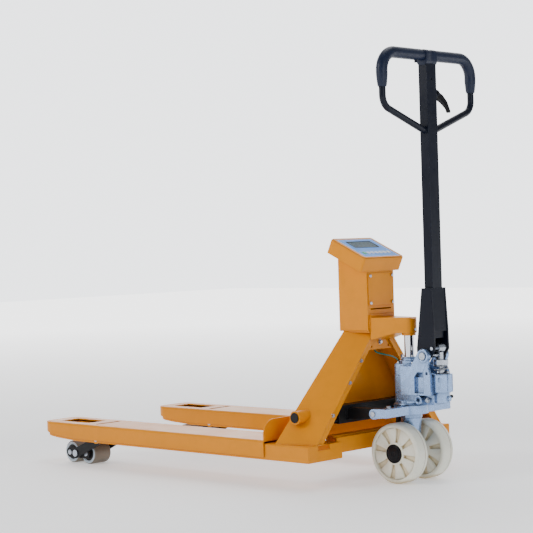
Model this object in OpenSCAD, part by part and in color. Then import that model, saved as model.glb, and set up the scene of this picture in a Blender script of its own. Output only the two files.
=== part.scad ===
// Hand pallet truck with a built-in weighing scale.
// Forks run along X, the operator end is at +X, Z is up from the floor.

/* [Forks] */
// Length from the platform tip to the rear of the heel
fork_length = 1220; // [1100:5:1300]
// Width over both weighing platforms
fork_overall_width = 685; // [660:5:720]
// Width of one weighing platform
platform_width = 160; // [154:1:180]
// Depth of one weighing platform
platform_depth = 50; // [44:1:56]
// Sheet thickness of the weighing platforms
platform_sheet = 4; // [3:0.5:5]
// Side gap between a platform and the channel inside it
platform_gap = 1; // [0.5:0.25:2]
// Depth of one inner fork channel
channel_depth = 48; // [44:1:52]
// Sheet thickness of the inner fork channels
channel_sheet = 5; // [4:0.5:6]
// Fork top height with the truck fully lowered
lowered_height = 85; // [80:1:90]
// Height the truck is raised by in the rest pose
rest_lift = 55; // [45:1:60]

/* [Wheels] */
// Diameter of the steering wheels
steer_wheel_diameter = 180; // [160:2:186]
// Width of a steering wheel
steer_wheel_width = 50; // [44:1:56]
// Distance between the middles of the two steering wheels
steer_wheel_spacing = 124; // [118:1:134]
// Diameter of the steering axle
steer_axle_diameter = 20; // [18:0.5:24]
// Diameter of a load roller
load_roller_diameter = 74; // [70:1:76]
// Width of a load roller
load_roller_width = 70; // [60:1:74]
// Diameter of a load roller axle
load_axle_diameter = 17; // [14:0.5:20]
// Distance between the two rollers of a bogie
roller_spacing = 82; // [80:1:88]
// Length of a roller arm from fork pivot to bogie pin
roller_arm_length = 140; // [136:1:144]
// Diameter of the roller arm pivot pins
arm_pin_diameter = 16; // [14:0.5:18]

/* [Pump] */
// Diameter of the lifting ram
ram_diameter = 30; // [26:0.5:34]
// Diameter of the steering column under the pump
column_diameter = 50; // [44:1:54]
// Diameter of the handle pivot pin
handle_pin_diameter = 16; // [12:0.5:18]
// Diameter of the pump plunger
plunger_diameter = 18; // [14:0.5:22]
// Diameter of the shaft stubs that carry the rocker
rocker_pin_diameter = 20; // [16:0.5:22]
// Diameter of the stubs on the thrust plate
thrust_pin_diameter = 16; // [12:0.5:18]

/* [Handle] */
// Height of the handle crossbar middle above the floor
crossbar_height = 1262; // [1180:1:1300]
// Distance between the middles of the two side grips
loop_width = 422; // [380:2:450]
// Diameter of the loop tube
loop_tube_diameter = 20; // [18:0.5:24]
// Diameter over the handle grips
grip_diameter = 34; // [30:0.5:38]
// Width of the handle post across the truck
post_width = 45; // [40:1:48]
// Depth of the handle post along the truck
post_depth = 30; // [26:1:34]

/* [Indicator] */
// Width of the indicator head across the truck
head_width = 190; // [170:2:220]
// Length of the indicator head along its sloping face
head_length = 145; // [130:1:160]
// Thickness of the indicator head
head_thickness = 46; // [38:1:54]
// Slope of the indicator face towards the operator
head_tilt = 25; // [15:1:30]
// Width of the indicator column across the truck
column_width = 128; // [110:2:140]
// Size of a square key
key_size = 12; // [10:0.5:14]

/* [Fits] */
// Radial clearance of every running pin or bore
running_clearance = 0.05; // [0.02:0.01:0.09]

/* [View] */
// Sub-part to draw

/* [Hidden] */
$fn = 48;
tip_gap = 8;
heel_x = -115;
tip_x = heel_x - fork_length;
cup_x = 117;
cup_r = 33;
ox = -(tip_x + cup_x + cup_r) / 2;
fy = fork_overall_width / 2 - platform_width / 2;
z_top = lowered_height + rest_lift;
z_cov = z_top - platform_depth;
ch_w = platform_width - 2 * platform_sheet - 2 * platform_gap;
z_ch = z_top - platform_sheet - 6;
z_chb = z_ch - channel_depth;
cov_rear = heel_x - 175;
rc = running_clearance;
axle_z = steer_wheel_diameter / 2;
roller_r = load_roller_diameter / 2;
arm_x = tip_x + 275;
arm_z = z_chb + 11;
arm_ang = asin((arm_z - roller_r) / roller_arm_length);
bogie_x = arm_x - roller_arm_length * cos(arm_ang);
lug_h = 22;
rod_y = fy - 27;
rocker_x = -200;
rocker_z = z_top + 67;
crank_h = 32.3;
thrust_x = -20;
thrust_z = 213;
plate_b = 203;
plate_t = 229;
pump_b = 229.6;
wing_b = z_ch;
wing_t = z_top + 310;
yoke_b = z_top + 296;
yoke_t = z_top + 350;
hp_x = 88;
hp_z = 379;
hr_x = 113;
hr_z = 401;
post_x = 97;
ctl_y = post_width / 2 + 13;
ctl_z = crossbar_height - 110;
head_c = [-160, 0, z_top + 541];
head_bot = head_thickness / 2;
wheel_in = steer_wheel_spacing / 2 - steer_wheel_width / 2;
wheel_out = steer_wheel_spacing / 2 + steer_wheel_width / 2;

module side(s) {
  mirror([0, s < 0 ? 1 : 0, 0]) children();
}

module base() {
  translate([ox, 0, 0]) children();
}

module ycyl(x, z, y0, y1, r) {
  translate([x, y0, z]) rotate([-90, 0, 0]) cylinder(h = y1 - y0, r = r);
}

module xcyl(y, z, x0, x1, r) {
  translate([x0, y, z]) rotate([0, 90, 0]) cylinder(h = x1 - x0, r = r);
}

module zcyl(x, y, z0, z1, r) {
  translate([x, y, z0]) cylinder(h = z1 - z0, r = r);
}

module box(x0, x1, y0, y1, z0, z1) {
  translate([x0, y0, z0]) cube([x1 - x0, y1 - y0, z1 - z0]);
}

// Draws a plate whose outline is given in X and Z, between two Y values.
module xz_plate(y0, y1) {
  translate([0, y1, 0]) rotate([90, 0, 0]) linear_extrude(y1 - y0) children();
}

// Draws an outline given in Y and Z, between two X values.
module yz_plate(x0, x1) {
  translate([x0, 0, 0]) rotate([90, 0, 90]) linear_extrude(x1 - x0) children();
}

// Cross-section of an inverted channel with rounded upper corners.
module channel_section(w, z0, z1, r) {
  hull() {
    translate([-w / 2 + r, z1 - r]) circle(r);
    translate([w / 2 - r, z1 - r]) circle(r);
    translate([-w / 2, z0]) square([w, 1]);
  }
}

// Plan of a fork with a rounded tip.
module fork_plan(w, x0, x1, r) {
  hull() {
    translate([x0 + r, -w / 2 + r]) circle(r);
    translate([x0 + r, w / 2 - r]) circle(r);
    translate([x1 - 1, -w / 2]) square([1, w]);
  }
}

// Side view of a fork with the underside of the nose swept up.
module nose_side(x0, x1, z0, z1, up) {
  polygon([[x0, z1 + 1], [x0, z0 + up], [x0 + 26, z0 + up * 0.55], [x0 + 75, z0 + up * 0.27],
    [x0 + 170, z0], [x1, z0], [x1, z1 + 1]]);
}

module fork_solid(w, x0, x1, z0, z1, r, tip_r, up) {
  intersection() {
    yz_plate(x0, x1) channel_section(w, z0, z1, r);
    translate([0, 0, z0 - 1]) linear_extrude(z1 - z0 + 2) fork_plan(w, x0, x1, tip_r);
    xz_plate(-w, w) nose_side(x0, x1, z0, z1, up);
  }
}

module platform() {
  t = platform_sheet;
  w = platform_width;
  difference() {
    fork_solid(w, tip_x, cov_rear, z_cov, z_top, 8, 46, 28);
    translate([0, 0, -0.01])
      fork_solid(w - 2 * t, tip_x + t, cov_rear + 1, z_cov - 2, z_top - t, 4.5, 42, 24);
    // Window over the bogie and slot over the arm pivot.
    box(tip_x + 57, tip_x + 200, -38, 38, z_top - 10, z_top + 5);
    box(tip_x + 247, tip_x + 264, -50, 50, z_top - 10, z_top + 5);
  }
  // Upright stop plate that keeps the load off the indicator column.
  yz_plate(cov_rear, cov_rear + t) intersection() {
    hull() {
      translate([w / 2 - 46, z_top + 15]) circle(46);
      translate([-w / 2, z_top + 57]) square([6, 4]);
      translate([-w / 2, z_top - t]) square([w, 4]);
    }
    translate([-w, z_top - t]) square([2 * w, 100]);
  }
}

module platform_l() {
  color("orange") base() side(-1) translate([0, fy, 0]) platform();
}

module platform_r() {
  color("orange") base() side(1) translate([0, fy, 0]) platform();
}

module channel() {
  t = channel_sheet;
  w = ch_w;
  x0 = tip_x + tip_gap;
  difference() {
    union() {
      difference() {
        fork_solid(w, x0, heel_x, z_chb, z_ch, 5, 42, 20);
        fork_solid(w - 2 * t, x0 + t, heel_x - t, z_chb - 5, z_ch - t, 2, 38, 18);
      }
      // Pivot tabs that carry the roller arm.
      for (a = [-1, 1]) {
        ycyl(arm_x, arm_z, a > 0 ? w / 2 - t : -w / 2, a > 0 ? w / 2 : -w / 2 + t, 14);
      }
    }
    // Opening for the lowered rollers.
    box(tip_x + 48, tip_x + 222, -40, 40, z_ch - 12, z_ch + 2);
    // Opening for the push rod and the rocker crank at the heel.
    box(-312, -150, -47, -7, z_ch - 12, z_ch + 2);
    // Cable hole and loading button holes of the two load cells.
    box(-256, -230, 18, 38, z_ch - 12, z_ch + 2);
    zcyl(tip_x + 352, 27, z_ch - 12, z_ch + 2, 7);
    zcyl(cov_rear - 120, 27, z_ch - 12, z_ch + 2, 7);
    ycyl(arm_x, arm_z, -w, w, arm_pin_diameter / 2 + rc);
    // Notch in the rear plate.
    box(heel_x - 12, heel_x + 2, -20, 32, z_ch - 15, z_ch + 2);
  }
}

module channel_l() {
  color("darkorange") base() side(-1) translate([0, fy, 0]) channel();
}

module channel_r() {
  color("darkorange") base() side(1) translate([0, fy, 0]) channel();
}

module cross_member() {
  yi = fy - ch_w / 2;
  color("darkorange") base() xz_plate(-yi, yi)
    polygon([[-178, z_chb + 12], [-173, z_chb + 12], [-173, z_top], [-150, z_top],
      [-150, z_top - 5], [-141, z_top - 5], [-141, z_chb + 12], [-136, z_chb + 12],
      [-136, z_top + 0], [-145, z_top], [-145, z_top + 5], [-178, z_top + 5]]);
}

// The side wings lie in a sloping plane given by three corners.
wfb = [-249, 335, wing_b];
wft = [-201, 64, wing_t];
wrb = [-115, 300, wing_b];
function unit(v) = v / norm(v);
wu = unit(wrb - wfb);
wn = unit(cross(wft - wfb, wrb - wfb));
wv = cross(wn, wu);
// Y of the wing surface at a given X and Z.
function wing_y(x, z) = wfb[1] - (wn[0] * (x - wfb[0]) + wn[2] * (z - wfb[2])) / wn[1];
wrt = [-103, wing_y(-103, wing_t), wing_t];
function wp(p) = [(p - wfb) * wu, (p - wfb) * wv];
wing_sheet = 6;

module wing_plate() {
  multmatrix([[wu[0], wv[0], wn[0], wfb[0]], [wu[1], wv[1], wn[1], wfb[1]],
    [wu[2], wv[2], wn[2], wfb[2]], [0, 0, 0, 1]])
    translate([0, 0, -wing_sheet]) linear_extrude(wing_sheet)
      polygon([wp(wfb), wp(wrb), wp(wrt), wp(wft)]);
}

module half_bulkhead() {
  dx = (wft[0] - wfb[0]) / (wing_t - wing_b);
  rx = (wrt[0] - wrb[0]) / (wing_t - wing_b);
  difference() {
    union() {
      wing_plate();
      // Rear lip along the back edge of the wing.
      multmatrix([[1, 0, rx, -wing_b * rx], [0, 1, 0, 0], [0, 0, 1, 0], [0, 0, 0, 1]])
        yz_plate(-121, -117) polygon([[wrb[1] - 3, wing_b - 1], [wrb[1] - 30, wing_b - 1],
          [wrt[1] - 24, wing_t - 2], [wrt[1] - 3, wing_t - 2]]);
      ycyl(rocker_x, rocker_z, wing_y(rocker_x, rocker_z + 20) - 1, 298, 20);
    }
    ycyl(rocker_x, rocker_z, 200, 310, rocker_pin_diameter / 2 + rc);
    box(-300, -50, 0, 400, wing_b - 40, wing_b);
    box(-300, -50, 0, 400, wing_t, wing_t + 40);
  }
  // Half of the sloping front panel.
  difference() {
    multmatrix([[1, 0, dx, -wing_b * dx], [0, 1, 0, 0], [0, 0, 1, 0], [0, 0, 0, 1]])
      yz_plate(wfb[0] + 2, wfb[0] + 7) polygon([[-1, wing_b], [wfb[1] - 5, wing_b],
        [wft[1] - 5, wing_t], [-1, wing_t]]);
    box(-270, -200, rod_y - 14, rod_y + 14, wing_b - 1, wing_b + 40);
    box(-270, -200, fy + 10, fy + 34, wing_b - 1, wing_b + 20);
  }
}

module bulkhead() {
  color("orange") base() {
    side(1) half_bulkhead();
    side(-1) half_bulkhead();
    // Cap under the indicator column with the cable hole.
    difference() {
      box(wft[0] + 1, wrt[0] - 0.5, -wft[1] + 3, wft[1] - 3, wing_t - 5, wing_t);
      zcyl(-160, 0, wing_t - 6, wing_t + 1, 14);
    }
    // Tie plate under the yoke.
    difference() {
      yz_plate(-118, -113) hull() {
        translate([-54, wing_t - 50]) circle(8);
        translate([54, wing_t - 50]) circle(8);
        translate([-38, wing_t - 6]) square([76, 3]);
      }
      xcyl(-40, wing_t - 48, -130, -100, 4);
      xcyl(40, wing_t - 48, -130, -100, 4);
    }
  }
}

module yoke() {
  color("orange") base() difference() {
    union() {
      // Arm that deepens towards the column.
      intersection() {
        translate([0, 0, yoke_b - 20]) linear_extrude(yoke_t - yoke_b + 20) hull() {
          circle(ram_diameter / 2 + 9);
          translate([wrt[0] + 0.5, -56]) square([4, 112]);
        }
        xz_plate(-60, 60) polygon([[wrt[0] - 1, yoke_b - 14], [-26, yoke_b + 8], [30, yoke_b + 8],
          [30, yoke_t - 8], [16, yoke_t], [wrt[0] - 1, yoke_t]]);
      }
      zcyl(0, 0, yoke_b, yoke_b + 10, ram_diameter / 2 + 6);
      // Upstand bolted to the back of the indicator column.
      box(-105, -100, -56, 56, wing_t, yoke_t + 10);
    }
    zcyl(0, 0, yoke_b - 1, yoke_t - 20, ram_diameter / 2 + rc);
    // Set screw hole.
    translate([0, 0, yoke_b + 18]) rotate([0, 90, 0]) cylinder(h = 60, r = 4);
  }
}

module ram() {
  color("silver") base() {
    zcyl(0, 0, 300, yoke_t - 20.5, ram_diameter / 2);
  }
}

module load_cell(x) {
  difference() {
    box(x - 60, x + 60, 12, 42, z_ch - channel_sheet - 22, z_ch - channel_sheet);
    ycyl(x + 10, z_ch - channel_sheet - 11, 10, 44, 8);
  }
  zcyl(x, 27, z_ch - channel_sheet - 1, z_top - platform_sheet, 6);
}

module load_cells() {
  color("silver") base() for (s = [-1, 1]) {
    side(s) translate([0, fy, 0]) {
      load_cell(tip_x + 352);
      load_cell(cov_rear - 120);
    }
  }
}

module arm_pins() {
  color("silver") base() for (s = [-1, 1]) {
    side(s) translate([0, fy, 0])
      ycyl(arm_x, arm_z, -ch_w / 2 - 0.5, ch_w / 2 + 0.5, arm_pin_diameter / 2);
  }
}

module rocker_pins() {
  color("dimgray") base() for (s = [-1, 1]) {
    side(s) {
      ycyl(rocker_x, rocker_z, 165, 298, rocker_pin_diameter / 2);
      ycyl(rocker_x, rocker_z, 298, 301, 15);
    }
  }
}

module cable(pts, r) {
  for (i = [0 : len(pts) - 2]) {
    hull() {
      translate(pts[i]) sphere(r = r, $fn = 12);
      translate(pts[i + 1]) sphere(r = r, $fn = 12);
    }
  }
}

// Cable run behind the rear lip of a wing and into its channel.
wing_run = [[-123.5, 138, wing_t - 144], [-123.5, 184, wing_t - 200],
  [-123.5, 218, wing_t - 243], [-123.5, 250, z_top + 26], [-133, 268, z_top + 10],
  [-170, 280, z_top + 4], [-236, fy + 21, z_top + 2], [-244, fy + 27, z_ch - 8],
  [-286, fy + 27, z_ch - 14], [cov_rear - 56, fy + 27, z_ch - 16]];

module cell_cables() {
  z = wing_t;
  color("teal") base() {
    side(-1) cable(concat([[-160, 7, z + 3], [-158, 9, z - 10], [-140, 26, z - 30],
      [-130, 52, z - 48], [-124, 80, z - 68], [-123.5, 108, z - 100]], wing_run), 2.6);
    side(1) cable(concat([[-160, 7, z + 3], [-158, 6, z - 10], [-142, 0, z - 34],
      [-126, -8, z - 64], [-110, 10, z - 74], [-108, 46, z - 82], [-116, 82, z - 94],
      [-123.5, 108, z - 112]], wing_run), 2.6);
    for (s = [-1, 1]) {
      side(s) xcyl(fy + 27, z_ch - 16, tip_x + 412.5, cov_rear - 180.5, 2.6);
    }
  }
}

module head_frame() {
  translate(head_c) rotate([0, head_tilt, 0]) children();
}

module column_shell() {
  hw = column_width / 2;
  color("orange") base() difference() {
    box(-217, -105, -hw, hw, wing_t, z_top + 600);
    box(-213, -109, -hw + 4, hw - 4, wing_t + 4, z_top + 610);
    // Everything above the sloping underside of the head.
    head_frame() box(-200, 200, -200, 200, -head_bot, 300);
    // Cable hole into the bulkhead.
    zcyl(-160, 0, wing_t - 1, wing_t + 5, 14);
    // Opening behind the rear cover.
    box(-112, -100, -hw + 16, hw - 16, z_top + 398, z_top + 470);
    for (y = [-1, 1], z = [z_top + 394, z_top + 476]) {
      xcyl(y * (hw - 12), z, -112, -100, 2.55);
    }
    // Narrow slot under the rear cover.
    box(-112, -100, -hw + 16, hw - 16, z_top + 374, z_top + 377.5);
  }
}

module column_cover() {
  hw = column_width / 2;
  color("orange") base() {
    box(-105, -102.5, -hw + 5, hw - 5, z_top + 386, z_top + 484);
    for (y = [-1, 1], z = [z_top + 394, z_top + 476]) {
      xcyl(y * (hw - 12), z, -108, -100.5, 2.5);
      xcyl(y * (hw - 12), z, -102.5, -100.5, 5);
    }
  }
}

module slab(l, w, z0, z1, r) {
  translate([0, 0, z0]) linear_extrude(z1 - z0) hull() {
    for (a = [-1, 1], b = [-1, 1]) {
      translate([a * (l / 2 - r), b * (w / 2 - r)]) circle(r);
    }
  }
}

panel_x = 2;
panel_l = head_length - 20;
panel_w = head_width - 26;

function key_y(i) = (i - 4) * 19;

module head_shell() {
  h = head_thickness / 2;
  color("orange") base() head_frame() difference() {
    union() {
      slab(head_length, head_width, -h, h - 3, 8);
      slab(head_length - 5, head_width - 5, h - 3.5, h, 6);
    }
    translate([panel_x, 0, 0]) slab(panel_l + 0.6, panel_w + 0.6, h - 1.5, h + 2, 4);
    slab(90, 104, -h - 2, h - 9, 4);
    // Key wells and display pocket.
    for (i = [1 : 7]) {
      translate([panel_x + 36, key_y(i), h - 5]) slab(key_size + 1, key_size + 1, 0, 6, 2);
    }
    translate([-22, 0, 0]) slab(46, 116, h - 5, h + 1, 2);
  }
}

module face_panel() {
  h = head_thickness / 2;
  color("steelblue") base() head_frame() difference() {
    translate([panel_x, 0, 0]) slab(panel_l, panel_w, h - 1.5, h - 0.3, 4);
    for (i = [1 : 7]) {
      translate([panel_x + 36, key_y(i), 0]) slab(key_size + 1, key_size + 1, h - 5, h + 1, 2);
    }
    translate([-22, 0, 0]) slab(40.4, 110.4, h - 5, h + 1, 2);
  }
}

module display() {
  h = head_thickness / 2;
  color("darkslategray") base() head_frame() {
    translate([-22, 0, 0]) slab(45, 115, h - 5, h - 1.6, 2);
    translate([-22, 0, 0]) slab(40, 110, h - 1.7, h - 0.5, 2);
  }
}

module key_at(i) {
  h = head_thickness / 2;
  base() head_frame() translate([panel_x + 36, key_y(i), 0]) {
    slab(key_size, key_size, h - 3.6, h + 1.2, 2);
  }
}

module key_1() {
  color("green") key_at(1);
}

module key_2() {
  color("white") key_at(2);
}

module key_3() {
  color("white") key_at(3);
}

module key_4() {
  color("white") key_at(4);
}

module key_5() {
  color("white") key_at(5);
}

module key_6() {
  color("white") key_at(6);
}

module key_7() {
  color("white") key_at(7);
}

module rocker_half() {
  x = rocker_x;
  z = rocker_z;
  difference() {
    union() {
      ycyl(x, z, 150, 228, 18);
      // Cheek from the pivot tube to the beam.
      xz_plate(150, 180) hull() {
        translate([x, z]) circle(18);
        translate([-168, z - 26]) square([6, 52]);
      }
      // Crank down to the push rod.
      xz_plate(218, 228) hull() {
        translate([x, z]) circle(17);
        translate([x, z - crank_h]) circle(11);
      }
      ycyl(x, z - crank_h, 218, 242, 6);
      // Arm back to the thrust plate stub.
      xz_plate(113, 137) hull() {
        translate([thrust_x + 8, thrust_z]) circle(14);
        translate([-140, z - 16]) square([6, 34]);
      }
      // Gussets on top of the beam.
      xz_plate(80, 86) polygon([[-176, z + 20], [-170, z + 26], [-150, z + 26], [-150, z + 20]]);
    }
    ycyl(x, z, 149, 229, rocker_pin_diameter / 2 + rc);
    // Slotted eye, open along the truck.
    xz_plate(110, 140) hull() {
      translate([thrust_x - 0.5, thrust_z]) circle(thrust_pin_diameter / 2 + 1.0);
      translate([thrust_x + 10.3, thrust_z]) circle(thrust_pin_diameter / 2 + 1.0);
    }
  }
}

module rocker() {
  z = rocker_z;
  color("black") base() {
    side(1) rocker_half();
    side(-1) rocker_half();
    difference() {
      box(-168, -130, -180, 180, z - 26, z + 27);
      // Shallow panel in the rear face.
      box(-134, -129, -150, 150, z - 17, z + 18);
    }
  }
}

module push_rod() {
  z = arm_z + lug_h;
  difference() {
    union() {
      xz_plate(-5, 5) polygon([[arm_x, z - 8], [-280, z - 8], [rocker_x + 4, rocker_z - crank_h - 11],
        [rocker_x - 8, rocker_z - crank_h + 9], [-286, z + 8], [arm_x, z + 8]]);
      xz_plate(-5, 5) translate([arm_x, z]) circle(8);
      xz_plate(-5, 5) translate([rocker_x, rocker_z - crank_h]) circle(12);
    }
    xz_plate(-6, 6) hull() {
      translate([arm_x, z + 0.2]) circle(5.5);
      translate([arm_x, z - 2]) circle(5.5);
    }
    xz_plate(-6, 6) hull() {
      translate([rocker_x, rocker_z - crank_h - 0.2]) circle(6.8);
      translate([rocker_x, rocker_z - crank_h + 1.6]) circle(6.8);
    }
  }
}

module push_rod_l() {
  color("dimgray") base() side(-1) translate([0, rod_y + 1.5, 0]) push_rod();
}

module push_rod_r() {
  color("dimgray") base() side(1) translate([0, rod_y + 1.5, 0]) push_rod();
}

arm_in = load_roller_width / 2 + 12;
arm_out = arm_in + 8;

module arm_outline() {
  hull() {
    translate([arm_x, arm_z]) circle(14);
    translate([arm_x - 30, arm_z - 14]) circle(14);
  }
  hull() {
    translate([arm_x - 30, arm_z - 14]) circle(14);
    translate([bogie_x, roller_r]) circle(17);
  }
}

module roller_arm() {
  z = arm_z + lug_h;
  difference() {
    union() {
      xz_plate(arm_in, arm_out) arm_outline();
      xz_plate(-arm_out, -arm_in) arm_outline();
      ycyl(arm_x, arm_z, -ch_w / 2 + channel_sheet + 1, ch_w / 2 - channel_sheet - 1, 13);
      // Lug that takes the push rod, with its pin.
      xz_plate(-20, -10) hull() {
        translate([arm_x, arm_z]) circle(12);
        translate([arm_x, z]) circle(7.5);
      }
      ycyl(arm_x, z, -32, -12, 5);
    }
    ycyl(arm_x, arm_z, -ch_w, ch_w, arm_pin_diameter / 2 + rc);
    ycyl(bogie_x, roller_r, -ch_w, ch_w, load_axle_diameter / 2 + rc);
  }
}

module roller_arm_l() {
  color("black") base() side(-1) translate([0, fy, 0]) roller_arm();
}

module roller_arm_r() {
  color("black") base() side(1) translate([0, fy, 0]) roller_arm();
}

module bogie_pin() {
  // A stub pin on each side, clear of the rollers between them.
  pin_in = load_roller_width / 2 + 1.7;
  ycyl(bogie_x, roller_r, pin_in, arm_out + 4, load_axle_diameter / 2);
  ycyl(bogie_x, roller_r, -arm_out - 4, -pin_in, load_axle_diameter / 2);
  ycyl(bogie_x, roller_r, arm_out + 0.8, arm_out + 4, load_axle_diameter / 2 + 3);
  ycyl(bogie_x, roller_r, -arm_out - 4, -arm_out - 0.8, load_axle_diameter / 2 + 3);
}

module bogie_pin_l() {
  color("silver") base() side(-1) translate([0, fy, 0]) bogie_pin();
}

module bogie_pin_r() {
  color("silver") base() side(1) translate([0, fy, 0]) bogie_pin();
}

module bogie() {
  w0 = load_roller_width / 2 + 1.5;
  w1 = arm_in - 1.5;
  h = roller_spacing / 2;
  difference() {
    for (a = [-1, 1]) {
      xz_plate(a > 0 ? w0 : -w1, a > 0 ? w1 : -w0) hull() {
        translate([bogie_x - h, roller_r]) circle(17);
        translate([bogie_x + h, roller_r]) circle(17);
      }
    }
    ycyl(bogie_x, roller_r, -ch_w, ch_w, load_axle_diameter / 2 + rc);
  }
  for (a = [-h, h]) {
    ycyl(bogie_x + a, roller_r, -w1 - 0.8, w1 + 0.8, load_axle_diameter / 2);
  }
}

module bogie_l() {
  color("black") base() side(-1) translate([0, fy, 0]) bogie();
}

module bogie_r() {
  color("black") base() side(1) translate([0, fy, 0]) bogie();
}

module roller(dx) {
  w = load_roller_width / 2;
  translate([bogie_x + dx, 0, roller_r]) rotate([-90, 0, 0]) rotate_extrude()
    polygon([[load_axle_diameter / 2 + rc, -w + 1], [15, -w + 1], [15, -w + 3], [27, -w + 3],
      [27, -w], [roller_r - 4, -w], [roller_r, -w + 5], [roller_r, w - 5], [roller_r - 4, w],
      [27, w], [27, w - 3], [15, w - 3], [15, w - 1], [load_axle_diameter / 2 + rc, w - 1]]);
}

module roller_lf() {
  color("tan") base() side(-1) translate([0, fy, 0]) roller(-roller_spacing / 2);
}

module roller_lb() {
  color("tan") base() side(-1) translate([0, fy, 0]) roller(roller_spacing / 2);
}

module roller_rf() {
  color("tan") base() side(1) translate([0, fy, 0]) roller(-roller_spacing / 2);
}

module roller_rb() {
  color("tan") base() side(1) translate([0, fy, 0]) roller(roller_spacing / 2);
}

module thrust_plate() {
  cr = column_diameter / 2;
  color("silver") base() difference() {
    union() {
      zcyl(0, 0, plate_b, plate_t, cr + 27);
      zcyl(0, 0, plate_b - 12, plate_b + 1, cr + 8);
      box(6, 30, -155, 155, plate_b, plate_t);
      for (a = [-1, 1]) {
        // Lugs on both sides of each rocker arm.
        xz_plate(a > 0 ? 139 : -155, a > 0 ? 155 : -139) hull() {
          translate([thrust_x, thrust_z]) circle(15);
          translate([8, plate_b]) square([10, plate_t - plate_b]);
        }
        xz_plate(a > 0 ? 95 : -111, a > 0 ? 111 : -95) hull() {
          translate([thrust_x, thrust_z]) circle(13);
          translate([8, plate_b]) square([10, plate_t - plate_b]);
        }
      }
    }
    zcyl(0, 0, plate_b - 20, plate_t + 5, cr + rc);
    ycyl(thrust_x, thrust_z, -160, -90, thrust_pin_diameter / 2 + rc);
    ycyl(thrust_x, thrust_z, 90, 160, thrust_pin_diameter / 2 + rc);
  }
}

module thrust_pins() {
  color("gray") base() for (s = [-1, 1]) {
    side(s) ycyl(thrust_x, thrust_z, 95, 157, thrust_pin_diameter / 2);
  }
}

module pump_side() {
  difference() {
    union() {
      // Flank casting and the ear that carries the handle pin.
      xz_plate(30, 50) polygon([[2, 262], [62, 262], [74, 300], [80, 345], [60, 348], [2, 348]]);
      xz_plate(38, 50) hull() {
        translate([hp_x, hp_z]) circle(21);
        translate([30, 310]) square([44, 20]);
      }
      xz_plate(38.5, 49) polygon([[60, 263], [112, 263], [112, 326], [104, 345], [105, 366],
        [70, 372]]);
    }
    // Window and blind hole in the flank.
    xz_plate(34, 51) polygon([[54, 269], [88, 269], [88, 331], [66, 331], [54, 317]]);
    xz_plate(44, 52) translate([100, 328]) circle(4.5);
    ycyl(hp_x, hp_z, 20, 60, handle_pin_diameter / 2 + rc);
  }
}

module pump_body() {
  rr = ram_diameter / 2;
  color("silver") base() difference() {
    union() {
      zcyl(0, 0, pump_b, 243, 47);
      translate([0, 0, 242]) linear_extrude(110) hull() {
        translate([-26, -22]) circle(12);
        translate([-26, 22]) circle(12);
        translate([40, -22]) circle(10);
        translate([40, 22]) circle(10);
      }
      side(1) pump_side();
      side(-1) pump_side();
      zcyl(0, 0, 350, 362, rr + 16);
      zcyl(0, 0, 360, 368, rr + 11);
      // Raised pads on the front and flank.
      box(-41, -30, -20, 20, 262, 304);
      box(-26, 4, -38, -30, 268, 318);
      box(-26, 4, 30, 38, 268, 318);
      // Web to the plunger cup.
      box(40, 110, -40, 40, 265, 316);
      zcyl(cup_x, 0, 272, 324, cup_r);
      zcyl(cup_x, 0, 240, 274, 24);
      // Valve block under the cup.
      box(44, 112, -31, 31, 234, 264);
      // Valve plugs.
      ycyl(92, 248, -36, -29, 8);
      ycyl(64, 249, -46, 46, 12);
      xcyl(0, 252, 112, 138, 10);
      xcyl(0, 252, 136, 147, 7);
    }
    zcyl(0, 0, 240, 380, rr + rc);
    // Spring cup and plunger bore.
    zcyl(cup_x, 0, 285, 330, cup_r - 7);
    zcyl(cup_x, 0, 244, 290, plunger_diameter / 2 + rc);
    zcyl(0, 0, 228, 236, column_diameter / 2 - 6);
    // Hex socket of the relief valve.
    translate([64, -47, 249]) rotate([-90, 0, 0]) cylinder(h = 8, r = 6, $fn = 6);
    ycyl(92, 248, 20, 40, 4 + rc);
  }
}

module plunger() {
  color("silver") base() {
    zcyl(cup_x, 0, 293, 353, plunger_diameter / 2);
    zcyl(cup_x, 0, 352, 366, 22);
    zcyl(cup_x, 0, 365, hr_z - 12.4, 7);
  }
}

module plunger_spring() {
  n = 5;
  r = 20;
  h = 66.4;
  color("gray") base() translate([cup_x, 0, 285.2])
    for (i = [0 : n * 12 - 1]) {
      a0 = i * 30;
      a1 = a0 + 30;
      z0 = 2 + (h - 4) * i / (n * 12);
      z1 = 2 + (h - 4) * (i + 1) / (n * 12);
      hull() {
        translate([r * cos(a0), r * sin(a0), z0]) sphere(r = 2, $fn = 8);
        translate([r * cos(a1), r * sin(a1), z1]) sphere(r = 2, $fn = 8);
      }
    }
}

module release_lever() {
  color("dimgray") base() {
    ycyl(92, 248, 22, 40, 4);
    xz_plate(31, 37) hull() {
      translate([92, 248]) circle(8);
      translate([126, 255]) circle(5);
    }
  }
}

module steer_column() {
  cr = column_diameter / 2;
  color("silver") base() difference() {
    union() {
      zcyl(0, 0, axle_z, plate_t + 0.4, cr);
      zcyl(0, 0, plate_t, plate_t + 6, cr - 6.5);
      translate([0, 0, axle_z + 34]) cylinder(h = plate_b - 12.5 - axle_z - 34, r1 = cr + 1,
        r2 = cr + 6);
      ycyl(0, axle_z, -wheel_in + 2, wheel_in - 2, steer_axle_diameter / 2 + 12);
    }
    ycyl(0, axle_z, -wheel_in, wheel_in, steer_axle_diameter / 2 + rc);
  }
}

module steer_axle() {
  color("gray") base() ycyl(0, axle_z, -wheel_out - 1, wheel_out + 1, steer_axle_diameter / 2);
}

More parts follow.
